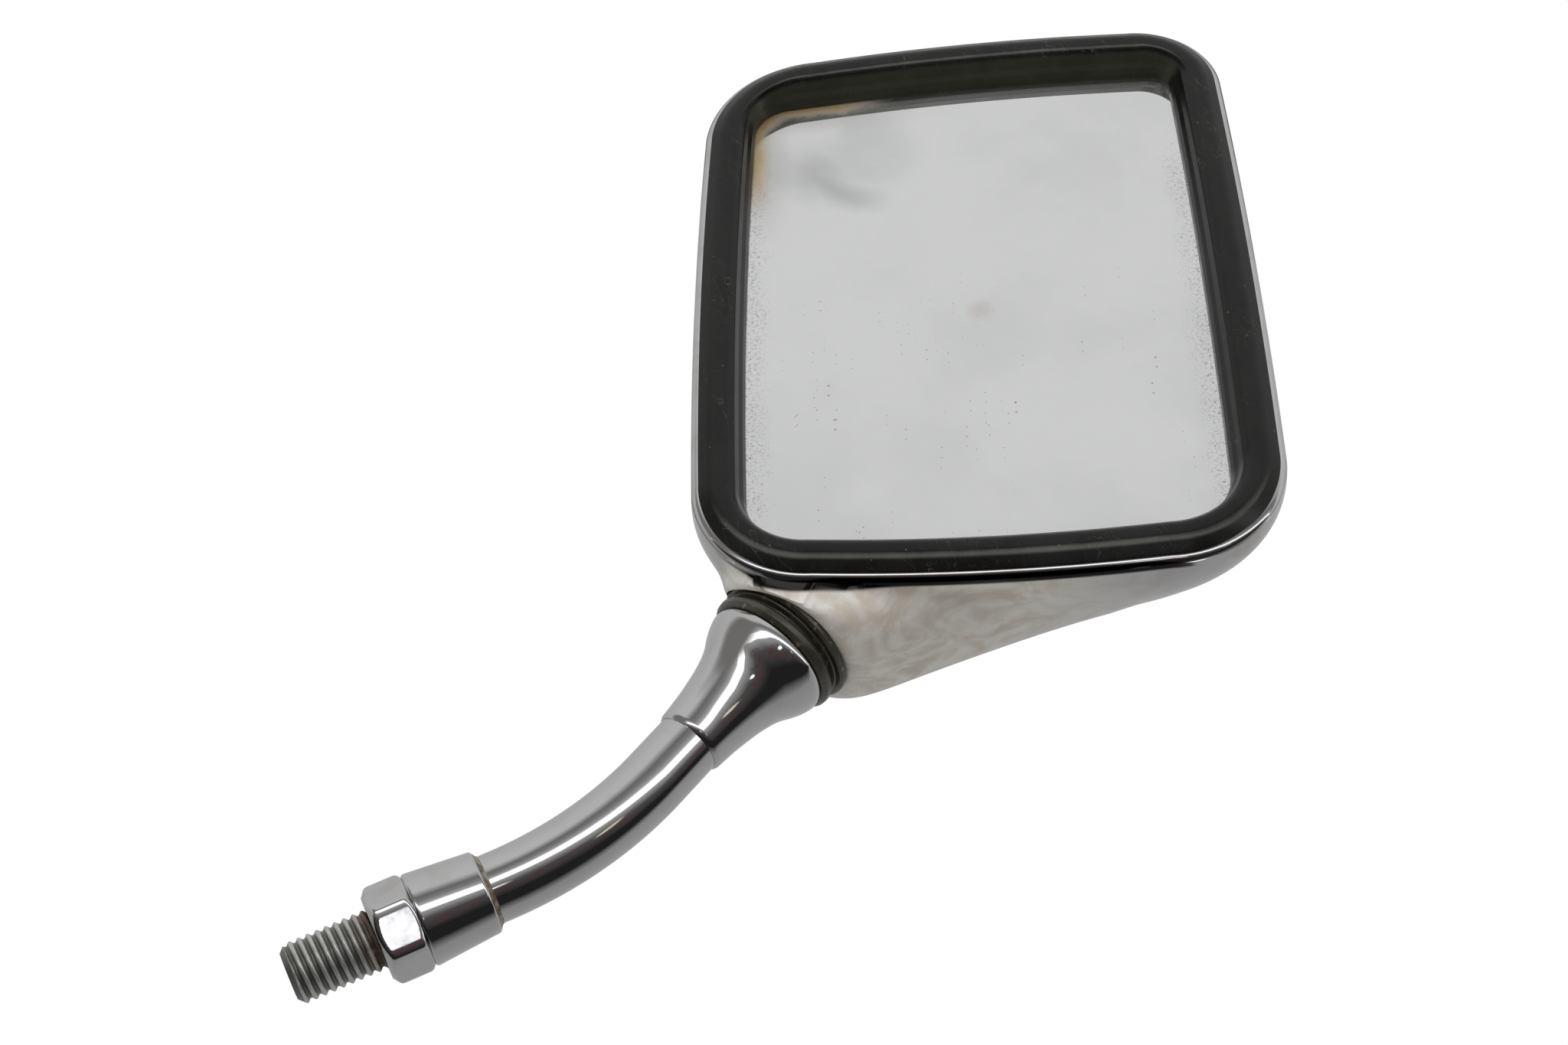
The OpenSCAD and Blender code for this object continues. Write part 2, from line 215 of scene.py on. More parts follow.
def make_stud():
    """Stud with its thread up to the sleeve and the plain shank inside that."""
    segs, step = 72, thread_pitch / 18
    heights = [stud_low + k * step for k in range(int((nut_h - stud_low) / step))]
    pts = [p for h in heights for p in circle(upright, h, lambda t: thread_radius(t, h), segs)]
    pts += circle(upright, nut_h, shank_r, segs) + circle(upright, stud_top, shank_r, segs)
    faces = rings_to_faces(len(heights) + 2, segs)
    n = len(pts)
    dish = 0.35
    pts += [(0, 0, stud_low + dish), (0, 0, stud_top)]
    faces += [(k, n, (k + 1) % segs) for k in range(segs)]
    faces += [(n - segs + k, n - segs + (k + 1) % segs, n + 1) for k in range(segs)]
    put("stud_thread", pts, faces, "stem", ("mounting_stud",), "thread_steel", 50)


def soft_min(a, b, k):
    """The smaller of two lengths, with the join rounded over k millimetres."""
    h = max(k - abs(a - b), 0) / k
    return min(a, b) - h * h * k / 4


def make_nut():
    """Hexagon nut whose corners are turned off by a cone at each end, the lower one deeper."""
    segs, half, bore_edge = 216, nut_af / 2, 0.4
    cone_top, cone_low, cone_slope, corner_out = 0.15, -0.5, 1.35, 0.95
    cone_soft, corner_soft, sixth = 0.6, 0.55, math.radians(60)

    def radius(ang, h):
        turn = (ang - sixth / 2) % sixth - sixth / 2
        cone = half + (cone_top if h > nut_h / 2 else cone_low) + min(h, nut_h - h) * cone_slope
        return soft_min(soft_min(half / math.cos(turn), cone, cone_soft), half + corner_out, corner_soft)

    heights = [0, 0.05, 0.15, 0.3, 0.45, 0.6, 0.75, 0.9, 1.05, 1.25, 1.5, 2.0, nut_h / 2]
    heights += [nut_h - h for h in heights[-2::-1]]
    pts = circle(upright, bore_edge, nut_bore, segs) + circle(upright, 0, nut_bore + bore_edge, segs)
    for h in heights:
        pts += circle(upright, h, lambda t: radius(t, h), segs)
    pts += circle(upright, nut_h, nut_bore + bore_edge, segs) + circle(upright, nut_h - bore_edge, nut_bore, segs)
    faces = rings_to_faces(len(heights) + 4, segs, closed=True)
    put("nut_hex", pts, faces, "nut", ("lock_nut",), "nut_chrome", 40)


def make_sleeve():
    """Tapered sleeve and the brown bead of its seam with the tube."""
    lo, hi = nut_h, sleeve_hi
    profile = [(shank_r, lo), (sleeve_r, lo), (sleeve_top_r, hi), (tube_r, hi), (tube_r, sleeve_floor),
               (shank_r, sleeve_floor)]
    pts, faces = lathe(rounded(profile, [0, 0.7, 0.55, 0, 0, 0], 6), 96, upright)
    put("sleeve_shell", pts, faces, "stem", ("stem_sleeve",), "chrome_plate")
    ring = [(tube_r + out, hi + up) for out, up in ((0, 0), (0.85, 0), (0.5, 0.22), (0.2, 0.45), (0, 0.75))]
    pts, faces = lathe(rounded(ring, [0, 0.1, 0.3, 0.3, 0], 3), 96, upright)
    put("braze_bead", pts, faces, "stem", ("braze_ring",), "braze")


def make_tube():
    """Tube swept along its centre line: straight, bend, straight, with its bore."""
    segs, bend_steps, into_bell = 96, 60, 5.0
    stations = [(0, sleeve_floor), (0, bend_start - 0.01)]
    stations += [(bend_a * k / bend_steps, None) for k in range(bend_steps + 1)]
    stations += [(bend_a, a_seam + into_bell)]
    rings_out, rings_in = [], []
    for ang, extra in stations:
        side = np.array([math.cos(ang), 0, math.sin(ang)])
        if extra is None:
            c = np.array([-bend_r * (1 - math.cos(ang)), 0, bend_start + bend_r * math.sin(ang)])
        elif ang == 0:
            c = np.array([0, 0, extra])
        else:
            c = bend_end + extra * axis_dir
        for store, r in ((rings_out, tube_r), (rings_in, tube_bore)):
            store += [c + r * (math.cos(t) * side + math.sin(t) * Y)
                      for t in np.linspace(0, 2 * math.pi, segs, endpoint=False)]
    n = len(stations)
    back = [rings_in[(n - 1 - i) * segs + j] for i in range(n) for j in range(segs)]
    faces = rings_to_faces(2 * n, segs, closed=True)
    put("tube_bent", rings_out + back, faces, "stem", ("stem_tube",), "chrome_plate")


def make_bell():
    """Flared bell: shares of its length and of its flare, then a rolled lip and the inside."""
    share = [0, 0.03, 0.22, 0.46, 0.61, 0.7, 0.79, 0.88, 0.95, 0.985]
    flare = [0, 0.05, 0.12, 0.27, 0.42, 0.56, 0.76, 0.92, 0.99, 0.97]
    collar, lip_at = 0.25, share[-1]
    r0 = tube_r + collar
    dr = bell_mouth_r - r0
    outer = [(r0 + dr * g, bell_len * s) for s, g in smooth_curve(share[1:], flare[1:], 46)]
    lip_in, lip_w, lip_h = 0.25, 0.75, 0.32
    lip = [(bell_mouth_r - lip_in - lip_w * (1 - math.cos(t)), bell_len * lip_at + lip_h * math.sin(t))
           for t in np.linspace(0.35, math.pi / 2, 6)]
    inner = [(r0 + dr * g - bell_t * 1.15, bell_len * s - 0.1)
             for s, g in smooth_curve(share[3:9], flare[3:9], 16)][::-1]
    start = [(tube_r, 0), (r0 - 0.12, 0), (r0 - 0.02, 0.12)]
    profile = start + outer + lip + inner + [(tube_r, 6.5)]
    pts, faces = lathe(profile, 128, lambda h, r, t: on_axis(a_seam + h, r, t))
    put("bell_shell", pts, faces, "stem", ("bell_cover",), "chrome_plate")


# ---------------------------------------------------------------- boot
def make_boot():
    """Two rubber rings that meet in the groove."""
    b, top, mid = bell_mouth_r - boot_in, boot_gap - gasket_t, 2.62
    low = [(neck_r, -4.4), (neck_r + 1.1, -4.4), (neck_r + 1.1, -2.6), (b - 0.5, -1.2), (b, -0.6), (b, 0),
           (b + 1.5, 0.05), (b + 2.1, 0.7), (b + 2.2, 1.6), (b + 1.8, 2.1), (b + 0.7, 2.4), (b + 0.62, mid),
           (b - 0.72, mid), (b - 0.6, 2.4), (b - 0.6, 1), (b - 1.3, -0.2), (neck_r + 1.8, -1.5), (neck_r, -1.5)]
    high = [(b - 0.72, mid), (b + 0.62, mid), (b + 0.7, 2.95), (b + 1.6, 3.2), (b + 1.75, 3.5), (b + 1.6, top),
            (b - 1, top), (b - 1, 3)]
    for name, prof, radii, body_a, body_b in (
            ("boot_bellows_low", low, 0.35, "stem", "lower_ball_liner"),
            ("boot_bellows_high", high, 0.18, "lower_ball_liner", "upper_ball_liner")):
        pts, faces = lathe(rounded(prof, radii, 4), 128, lambda h, r, t: on_axis(a_mouth + h, r, t))
        obj = put(name, pts, faces, None, ("boot",), "boot_rubber")
        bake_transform(obj)


# ---------------------------------------------------------------- head outline and shell
def turned(v):
    """A flat vector turned clockwise by a quarter."""
    return np.array([v[1], -v[0]])


# The frame's corners, their radii and the sides' bows: the spout's corner first, then along the lower edge
corner_bl, side_lean, top_narrower = np.array([-21.0, -5.6]), 1.8, 3
corner_tl = corner_bl + np.array([side_lean, frame_h])
corners = [corner_bl, corner_bl + frame_w * np.array([1, math.tan(low_rise)]),
           corner_tl + (frame_w - top_narrower) * np.array([1, math.tan(top_rise)]), corner_tl]
corner_r = [19, 21, 15, 22]
bow = [1.2, 0.7, 1.2, 0.8]
arc_steps, side_steps = 26, (110, 44, 44, 70)
normals = [turned((corners[(i + 1) % 4] - corners[i]) / np.linalg.norm(corners[(i + 1) % 4] - corners[i]))
           for i in range(4)]
corner_tighter = np.array([1.0, 1.0, 3.0, 6.0])  # how much tighter the opening's corners are than its offset
tighter_from = 4.5  # where on the bezel that begins


def arc_middles(radii):
    """Centres of the frame's four corner arcs."""
    return [corners[i] - radii[i] * (normals[i - 1] + normals[i]) / (1 + normals[i - 1] @ normals[i])
            for i in range(4)]


def opening_radii(off):
    """Corner radii for a ring of the bezel or glass, tighter towards the opening."""
    share = min(max((off - tighter_from) / (bezel_w - tighter_from), 0), 1)
    return np.array(corner_r) - corner_tighter * share


polar = pole_in * np.array([math.cos(dir_a), math.sin(dir_a)])
mouth_l = pole_in + ball_in


def outline(off, radii=corner_r):
    """Frame outline, off millimetres inside its outer edge."""
    pts, mids = [], arc_middles(radii)
    for i in range(4):
        before, here = normals[i - 1], normals[i]
        base = math.atan2(before[1], before[0])
        sweep = math.acos(np.clip(before @ here, -1, 1))
        for k in range(arc_steps + 1):
            t = base + sweep * k / arc_steps
            pts.append(mids[i] + (radii[i] - off) * np.array([math.cos(t), math.sin(t)]))
        nxt = (i + 1) % 4
        a, b = mids[i] + (radii[i] - off) * here, mids[nxt] + (radii[nxt] - off) * here
        for k in range(1, side_steps[i] + 1):
            t = k / (side_steps[i] + 1)
            pts.append(a + (b - a) * t + 4 * bow[i] * t * (1 - t) * here)
    return np.array(pts)


def in_head(flat, w):
    """Head-frame points at height w, in the row frame."""
    flat = np.asarray(flat, float)
    w = np.broadcast_to(np.asarray(w, float), (len(flat),))
    return ball + flat[:, :1] * head_x + flat[:, 1:2] * head_y + w[:, None] * head_w


def spout_reach(off_axis, w, inside):
    """Distance from the pole to the spout's surface at an angle off its axis and height w, inside mm in."""
    mouth_taper, least, fade_from = 1.3, 0.03, 0.45
    lim = np.where(w > 0, rim_w - spout_below, spout_back) - inside
    q = np.where(np.abs(w) < lim, np.clip(1 - (np.abs(w) / lim) ** section_round, 0, 1) ** (1 / section_round), 0)
    cd, sd = np.cos(off_axis), np.abs(np.sin(off_axis))
    right = off_axis > 0
    slope = np.where(right, slope_right, slope_left)
    half = np.where(right, spout_right, spout_left) - inside
    runs_on = np.where(right, flank_run, 0)
    ok = (cd >= least - runs_on) & (q >= 0.01)
    cds, qs = np.where(ok, cd, 1), np.where(ok, q, 1)
    end = (mouth_l - inside * mouth_taper) / np.maximum(cds, least)
    flank = (half + slope * mouth_l) * qs / np.maximum(sd + slope * qs * cds, 0.02)
    both = (end**-flank_join + flank**-flank_join) ** (-1 / flank_join)
    fade = 1 - 0.5 * (1 - np.minimum(1, (cds + runs_on) / fade_from)) ** 2
    return np.where(ok, fade * both, 0.001)


def shell_ring(t, inside):
    """Ring of the domed shell, t radians along its section from the rim to the back."""
    v = outline(-lip_out) - polar
    r0 = np.linalg.norm(v, axis=1)
    off_axis = (np.arctan2(v[:, 1], v[:, 0]) - dir_a) % (2 * math.pi) - math.pi
    rr = (r0 - inside) * math.cos(t) ** dome_p
    d = (shell_deep - inside) * (1 - far_thin * (rr / shell_span) ** thin_p) * math.sin(t) ** dome_p
    w = rim_w - d
    bulge = np.where((d > 0) & (d < bulge_deep), bulge_out * np.sin(math.pi * d / bulge_deep), 0)
    r = ((rr + bulge) ** shell_join + spout_reach(off_axis, w, inside) ** shell_join) ** (1 / shell_join)
    return in_head(polar + r[:, None] * v / r0[:, None], w)


def make_housing():
    """Hollow shell with a rolled rim, cut open at the spout's mouth and bored for the socket seat."""
    # Rolled rim: inside the outline, above the rim
    lip = [(0.9, 0), (0.45, 0.02), (0.12, -0.02), (-0.2, -0.12), (-0.48, -0.32), (-0.7, -0.62), (-0.86, -0.98)]
    rings = [in_head(outline(off), rim_w + dw) for off, dw in lip]
    # Degrees along the section, close together at the rim: outside and inside
    outer_t = [0.8 + 0.5 * k for k in range(8)] + list(np.linspace(5, 89.2, 66))
    inner_t = [1.5, 3] + list(np.linspace(7, 88, 26))
    rings += [shell_ring(math.radians(t), 0) for t in outer_t]
    m = len(rings[0])
    tip_out = in_head([polar], rim_w - shell_deep)[0]
    inner = [shell_ring(math.radians(t), wall) for t in inner_t]
    tip_in = in_head([polar], rim_w - shell_deep + wall)[0]
    pts = [p for ring in rings for p in ring] + [tip_out]
    faces = rings_to_faces(len(rings), m)
    last = (len(rings) - 1) * m
    faces += [(last + j, last + (j + 1) % m, len(pts) - 1) for j in range(m)]
    base = len(pts)
    pts += [p for ring in inner for p in ring] + [tip_in]
    faces += [f[::-1] for f in rings_to_faces(len(inner), m, first=base)]
    last = base + (len(inner) - 1) * m
    faces += [(last + (j + 1) % m, last + j, len(pts) - 1) for j in range(m)]
    faces += [(j, base + j, base + (j + 1) % m, (j + 1) % m) for j in range(m)]
    obj = put("housing_shell", pts, faces, "head", ("housing",), "housing_chrome")
    cutters, seg = [], 96
    # Mouth, collar and seat: radius, start past the mouth's plane, length
    for r, start, length in ((spout_left - 0.2, -6, 6), (socket_r - 1.3, -1, 4), (socket_r + 0.02, 1.6, 12)):
        ring = [p for h in (0, length) for p in circle(on_axis, a_spout + start + h, r, seg)]
        sides = rings_to_faces(2, seg) + [tuple(range(seg))[::-1], tuple(range(seg, 2 * seg))]
        mesh = bpy.data.meshes.new("cutter")
        mesh.from_pydata((np.array(ring) * MM).tolist(), [], sides)
        cutter = bpy.data.objects.new("cutter", mesh)
        bpy.context.scene.collection.objects.link(cutter)
        cut = obj.modifiers.new("cut", "BOOLEAN")
        cut.operation, cut.object, cut.solver = "DIFFERENCE", cutter, "EXACT"
        cutters.append(cutter)
    bpy.context.view_layer.update()
    baked = bpy.data.meshes.new_from_object(obj.evaluated_get(bpy.context.evaluated_depsgraph_get()))
    obj.modifiers.clear()
    obj.data = baked
    baked.shade_smooth()
    baked.set_sharp_from_angle(angle=math.radians(32))
    for cutter in cutters:
        bpy.data.objects.remove(cutter)


glass_in, pocket_in = 6, 7.6  # the glass's edge and the pocket under it, inside the outline
glass_floor = glass_w - glass_t
seen_w = glass_w - silver_in
bezel_section = [
    # (inside the outline, height), corner radius
    ((3.4, glass_floor - pad_t), 0.2), ((1.1, rim_w - 1.2), 0.2), ((1.0, rim_w), 0), ((0.3, rim_w), 0),
    ((0.25, rim_w + 0.42), 0.12), ((2.6, face_w), 3.4), ((5.4, face_w), 1.9),
    ((6.65, face_w - 1.1), 1.2), ((7.25, face_w - 2.8), 0.8), ((7.9, face_w - 3.8), 0.6),
    ((bezel_w, glass_w + 0.35), 0.4), ((bezel_w, seen_w - 0.1), 0), ((glass_in, seen_w - 0.1), 0),
    ((glass_in, glass_floor), 0), ((pocket_in, glass_floor), 0), ((pocket_in, glass_floor - pad_t), 0.2)]


def make_bezel():
    """Rubber frame: its section carried round rings that turn tighter towards the opening."""
    section = rounded([p for p, r in bezel_section], [r for p, r in bezel_section], 6)
    rings = [in_head(outline(off, radii=opening_radii(off)), w) for off, w in section]
    m = len(rings[0])
    faces = [f[::-1] for f in rings_to_faces(len(rings), m, closed=True)]
    put("bezel_rubber_frame", [p for ring in rings for p in ring], faces, "head", ("bezel",), "bezel_rubber")


def make_glass():
    """Plate whose front lies where the silvering is seen."""
    inside = glass_in + 0.05
    flat = outline(inside, radii=opening_radii(inside))
    m = len(flat)
    pts = list(in_head(flat, seen_w)) + list(in_head(flat, glass_floor))
    faces = [tuple(range(m)), tuple(range(2 * m - 1, m - 1, -1))]
    faces += [(j, m + j, m + (j + 1) % m, (j + 1) % m) for j in range(m)]
    put("mirror_plate", pts, faces, "head", ("mirror_glass",), "mirror_glass")


for make in (make_stud, make_nut, make_sleeve, make_tube, make_bell, make_boot, make_housing, make_bezel,
             make_glass):
    make()


# ---------------------------------------------------------------- materials
class Nodes:
    """A node tree, with short ways to add nodes to it."""
    mm = None

    def __init__(self, tree):
        self.tree = tree
        tree.nodes.clear()

    def add(self, kind, **props):
        node = self.tree.nodes.new(kind)
        for key, value in props.items():
            setattr(node, key, value)
        return node

    def join(self, a, b):
        """Links an output, or sets a number or colour, on the socket b."""
        if isinstance(a, bpy.types.NodeSocket):
            self.tree.links.new(a, b)
        elif isinstance(a, (tuple, list, np.ndarray)):
            value = tuple(float(x) for x in a)
            b.default_value = value + (1,) if len(b.default_value) == 4 and len(value) == 3 else value
        else:
            b.default_value = a

    def vmath(self, op, a, b=None):
        node = self.add("ShaderNodeVectorMath", operation=op)
        self.join(a, node.inputs[0])
        if b is not None:
            self.join(b, node.inputs[1])
        return node.outputs["Value"] if op in ("DOT_PRODUCT", "LENGTH", "DISTANCE") else node.outputs["Vector"]

    def math(self, op, a, b=None):
        node = self.add("ShaderNodeMath", operation=op)
        self.join(a, node.inputs[0])
        if b is not None:
            self.join(b, node.inputs[1])
        return node.outputs[0]

    def times(self, first, *rest):
        for value in rest:
            first = self.math("MULTIPLY", first, value)
        return first

    def ramp(self, value, low, high, to_low=0.0, to_high=1.0):
        """Smooth step from to_low at low to to_high at high."""
        node = self.add("ShaderNodeMapRange", interpolation_type="SMOOTHSTEP")
        for k, v in enumerate((value, low, high, to_low, to_high)):
            self.join(v, node.inputs[k])
        return node.outputs[0]

    def noise(self, scale, detail=3, rough=0.55, vector=None, distort=0):
        node = self.add("ShaderNodeTexNoise")
        self.join(self.mm if vector is None else vector, node.inputs["Vector"])
        for key, value in (("Scale", scale), ("Detail", detail), ("Roughness", rough), ("Distortion", distort)):
            node.inputs[key].default_value = value
        return node.outputs["Fac"]

    def mix(self, fac, a, b):
        node = self.add("ShaderNodeMix", data_type="RGBA")
        for k, value in ((0, fac), (6, a), (7, b)):
            self.join(value, node.inputs[k])
        return node.outputs[2]


class Shader(Nodes):
    """A material: its surface shader, and its object coordinates in millimetres."""
    names = {"base": "Base Color", "metal": "Metallic", "rough": "Roughness", "spec": "Specular IOR Level",
             "coat": "Coat Weight", "coat_rough": "Coat Roughness"}

    def __init__(self, name):
        self.mat = bpy.data.materials.new(name)
        self.mat.use_nodes = True
        super().__init__(self.mat.node_tree)
        self.out = self.add("ShaderNodeOutputMaterial")
        self.bsdf = self.add("ShaderNodeBsdfPrincipled")
        self.join(self.bsdf.outputs[0], self.out.inputs["Surface"])
        coords = self.add("ShaderNodeTexCoord")
        to_mm = self.add("ShaderNodeVectorMath", operation="SCALE")
        to_mm.inputs["Scale"].default_value = 1 / MM
        self.join(coords.outputs["Object"], to_mm.inputs[0])
        self.mm = to_mm.outputs["Vector"]
        self.normal = coords.outputs["Normal"]

    def moved(self, shift):
        return self.vmath("ADD", self.mm, shift)

    def stretch(self, factors):
        return self.vmath("MULTIPLY", self.mm, factors)

    def along(self, direction, origin=(0, 0, 0)):
        """Distance in mm along a direction from an origin."""
        return self.vmath("DOT_PRODUCT", self.vmath("SUBTRACT", self.mm, tuple(origin)), tuple(direction))

    def cells(self, scale, vector):
        """Distance to the middle of the nearest cell, in cells."""
        node = self.add("ShaderNodeTexVoronoi")
        self.join(vector, node.inputs["Vector"])
        node.inputs["Scale"].default_value = scale
        return node.outputs["Distance"]

    def uneven(self, size, *noise):
        """Noise spread round zero, size millimetres from end to end."""
        return self.times(self.math("SUBTRACT", self.noise(*noise), 0.5), size)

    def set(self, **sockets):
        for key, value in sockets.items():
            self.join(value, self.bsdf.inputs[self.names[key]])

    def bump(self, height, distance, strength):
        node = self.add("ShaderNodeBump")
        node.inputs["Strength"].default_value = strength
        node.inputs["Distance"].default_value = distance * MM
        self.join(height, node.inputs["Height"])
        self.join(node.outputs[0], self.bsdf.inputs["Normal"])


def srgb(text):
    """Linear colour of an sRGB hex code."""
    v = [int(text[k:k + 2], 16) / 255 for k in (0, 2, 4)]
    return tuple(x / 12.92 if x <= 0.04045 else ((x + 0.055) / 1.055) ** 2.4 for x in v)


def out_of_corner(s, i, radius, middle):
    """Distance in mm outside the rounded corner i of the frame, on the sides that meet there too."""
    middle = in_head([middle], 0)[0]
    a, b = (s.math("MAXIMUM", s.along(head_x * n[0] + head_y * n[1], middle), 0.0)
            for n in (normals[i], normals[i - 1]))
    return s.math("SUBTRACT", s.math("SQRT", s.math("ADD", s.times(a, a), s.times(b, b))), radius)


def scratches(s, scale, along, width=0.03):
    """Thin random lines: 1 on a line."""
    where = s.ramp(s.noise(0.05, 2), 0.45, 0.62)
    lines = s.noise(scale, 1, 0.4, s.stretch(along), distort=0.6)
    return s.times(s.ramp(s.math("ABSOLUTE", s.math("SUBTRACT", lines, 0.5)), width, 0), where)


def film_by_spout(s, base, rough):
    """A dull flank beside the spout, partly a real haze and stain and partly a painted beige reflection, and a painted
    dark reflection in the crease under the rim: colour, metal and roughness.
    """
    u, v, depth = (s.along(axis, ball) for axis in (head_x, head_y, head_w))
    across = s.along(axis_side, bend_end + a_spout * axis_dir)
    beyond = out_of_corner(s, 0, corner_r[0], arc_middles(corner_r)[0])
    spout_side = s.ramp(v, 3, -2)
    off_rim = s.math("MAXIMUM", s.ramp(depth, 13.1, 12.6), s.ramp(beyond, 2.0, 2.6))
    # Dull pale beige on the flank by the spout: partly a real haze and stain, partly a painted reflection of the pale
    # table that stands in for what the chrome mirrors there
    haze_and_painted_reflection = s.times(spout_side, s.ramp(across, -16, -9), off_rim, s.ramp(depth, -13, -8), s.ramp(u, 62, 30))
    swirl = s.noise(0.13, 6, 0.62, s.stretch((0.7, 1, 0.7)), distort=1.6)
    stain_and_painted_reflection = s.mix(s.ramp(swirl, 0.36, 0.64), srgb("d4d2cb"), srgb("bdb4a7"))
    # Painted dark reflection: near black in the concave band under the rim by the spout, standing in for the dark room
    # mirrored there
    painted_dark_reflection = s.times(s.ramp(depth, 12.5, 13.1), s.ramp(depth, 14.7, 14.3), s.ramp(beyond, 0.6, 0.8),
                     s.ramp(beyond, 3.0, 2.2), spout_side, s.ramp(u, 74, 58), 0.98)
    base = s.mix(painted_dark_reflection, s.mix(haze_and_painted_reflection, base, stain_and_painted_reflection), srgb("171413"))
    return base, s.ramp(haze_and_painted_reflection, 0, 1, 1.0, 0.18), s.math("ADD", rough, s.times(haze_and_painted_reflection, 0.3))


chrome_tint = 0.6


def chrome_material(name, haze=0.0, haze_rough=0.0, film=False):
    """Chrome plate with faint clouding, dust, pits and scratches; film adds the dull flank by the spout, partly stained
    and partly a painted reflection, and a painted dark reflection under the rim.
    """
    s = Shader(name)
    patch = s.ramp(s.noise(0.16, 5, 0.6), 0.5, 0.72)
    fine = s.noise(1.7, 4, 0.65)
    base = s.mix(s.times(patch, 0.16), (chrome_tint,) * 3, srgb("a89d93"))
    if haze:
        side = s.ramp(s.noise(0.09, 4, 0.65, distort=0.8), 0.46, 0.68)
        base = s.mix(s.times(side, haze), base, srgb("9d8478"))
    dust = s.ramp(s.cells(0.42, s.mm), 0.035, 0.012)
    base = s.mix(s.times(dust, 0.55), base, srgb("d8d2c6"))
    pits = s.ramp(s.cells(0.75, s.moved((31, 7, 12))), 0.03, 0.01)
    base = s.mix(s.times(pits, 0.6), base, srgb("4a3b30"))
    rough = s.math("ADD", s.times(patch, 0.05 + haze_rough), s.times(fine, 0.03))
    rough = s.math("ADD", s.math("ADD", rough, s.times(dust, 0.3)), 0.035)
    metal = 1.0
    if film:
        base, metal, rough = film_by_spout(s, base, rough)
    s.set(base=base, metal=metal, rough=rough)
    s.bump(s.times(scratches(s, 0.55, (1, 0.25, 0.4)), -1), 0.002, 0.35)
    return s.mat


def thread_material():
    """Bare grey thread with its crests coloured lighter than the roots as a painted highlight, rusty towards the nut
    and clean inside it.
    """
    s = Shader("thread_steel_finish")
    # Painted highlight: the crests are coloured lighter than the roots
    painted_crest_highlight = s.ramp(s.vmath("LENGTH", s.stretch((1, 1, 0))), stud_r - thread_deep * 0.75, stud_r - 0.1)
    streak = s.ramp(s.noise(0.9, 4, 0.7, s.stretch((1, 1, 6))), 0.4, 0.7)
    base = s.mix(painted_crest_highlight, srgb("6a6a65"), srgb("c9cac7"))
    base = s.mix(s.times(streak, 0.4), base, srgb("7b7a74"))
    height = s.along((0, 0, 1))
    outside = s.ramp(height, 2.6, 0.8)
    blotch = s.ramp(s.noise(0.45, 5, 0.7), 0.42, 0.62)
    spots = s.ramp(s.noise(0.8, 4, 0.6, s.moved((9, 3, 5))), 0.66, 0.74)
    rust = s.times(s.ramp(height, -4.2, -0.4), outside, s.math("ADD", s.times(blotch, 0.7), 0.3))
    rust = s.math("MAXIMUM", rust, s.times(spots, 0.7))
    base = s.mix(s.times(rust, 0.85), base, srgb("6e4f38"))
    base = s.mix(s.times(s.ramp(height, -1.6, -0.3, 0, 0.85), outside), base, srgb("3c2b20"))
    s.set(base=base, metal=s.ramp(rust, 0.2, 0.8, 0.8, 0.2), rough=s.ramp(rust, 0.0, 1.0, 0.33, 0.75))
    s.bump(s.noise(3.5, 4, 0.7), 0.03, 0.5)
    return s.mat


def braze_material():
    """Brown filler metal with paler patches."""
    s = Shader("braze_finish")
    blotch = s.noise(0.5, 4, 0.6)
    base = s.mix(s.ramp(blotch, 0.35, 0.6), srgb("6b5a46"), srgb("b5ada0"))
    s.set(base=base, metal=0.85, rough=s.ramp(blotch, 0.3, 0.7, 0.35, 0.6))
    s.bump(s.noise(4, 3), 0.03, 0.5)
    return s.mat


def walls_and_painted_highlight(s, base, cloud, walls):
    """Paler olive on the wall below the face, and a painted highlight along the face's edge, where the rubber turns to
    the spout side.
    """
    turned_down = s.vmath("DOT_PRODUCT", s.normal, tuple(head_y))
    facing = s.vmath("DOT_PRODUCT", s.normal, tuple(head_w))
    # Paler olive on the upper inner wall below the face, where it faces down
    below = s.times(s.ramp(s.along(head_w, ball), face_w - 0.5, face_w - 1.4), s.ramp(cloud, 0.2, 0.6, 0.7, 1),
                    s.ramp(s.along(head_y, ball), 30, 80), s.ramp(turned_down, -0.1, -0.5))
    base = s.mix(below, base, walls)
    # Painted highlight: a pale line on the face's rounded edge where the rubber turns down, standing in for the lamp's
    # reflection
    painted_crest_highlight = s.times(s.ramp(facing, 0.86, 0.93), s.ramp(facing, 0.999, 0.985), s.ramp(turned_down, -0.06, -0.28),
                    s.ramp(cloud, 0.3, 0.7, 0.25, 0.5))
    return s.mix(painted_crest_highlight, base, srgb("6a6861"))


